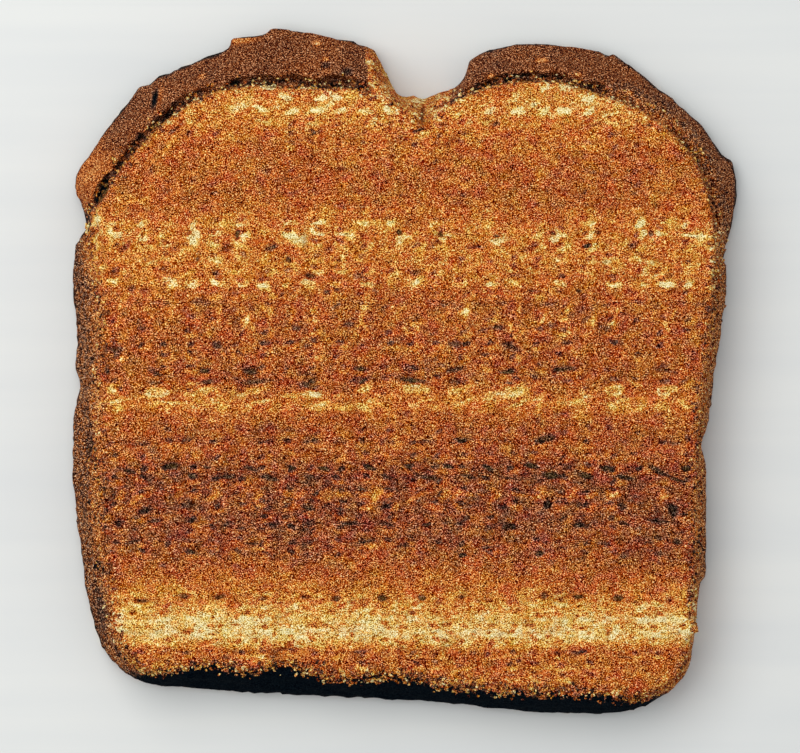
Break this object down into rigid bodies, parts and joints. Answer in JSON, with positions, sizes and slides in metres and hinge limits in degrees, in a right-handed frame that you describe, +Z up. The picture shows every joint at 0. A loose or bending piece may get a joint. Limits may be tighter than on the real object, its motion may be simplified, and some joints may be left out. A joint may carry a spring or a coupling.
{
  "type": "slice of burnt toast",
  "caption": "Thick slice of burnt tin-loaf toast with a twin-domed top, cracked brown crust leaning outwards and an open, pitted crumb face, lying flat.",
  "frame": {"origin": "under the middle of the slice's bounding box, on the surface it lies on", "axes": "+Z up, out of the toasted face that shows; +Y towards the loaf's domed top; +X to the right as the picture shows the slice"},
  "size_m": [0.113, 0.1168, 0.0135],
  "materials": {
    "toasted_crumb": "matt, dry and rough toasted bread: golden to dark brown crumb, brown crust, charred black along the bottom wall"
  },
  "bodies": {
    "root": {"toast": "toasted_crumb"}
  },
  "joints": []
}
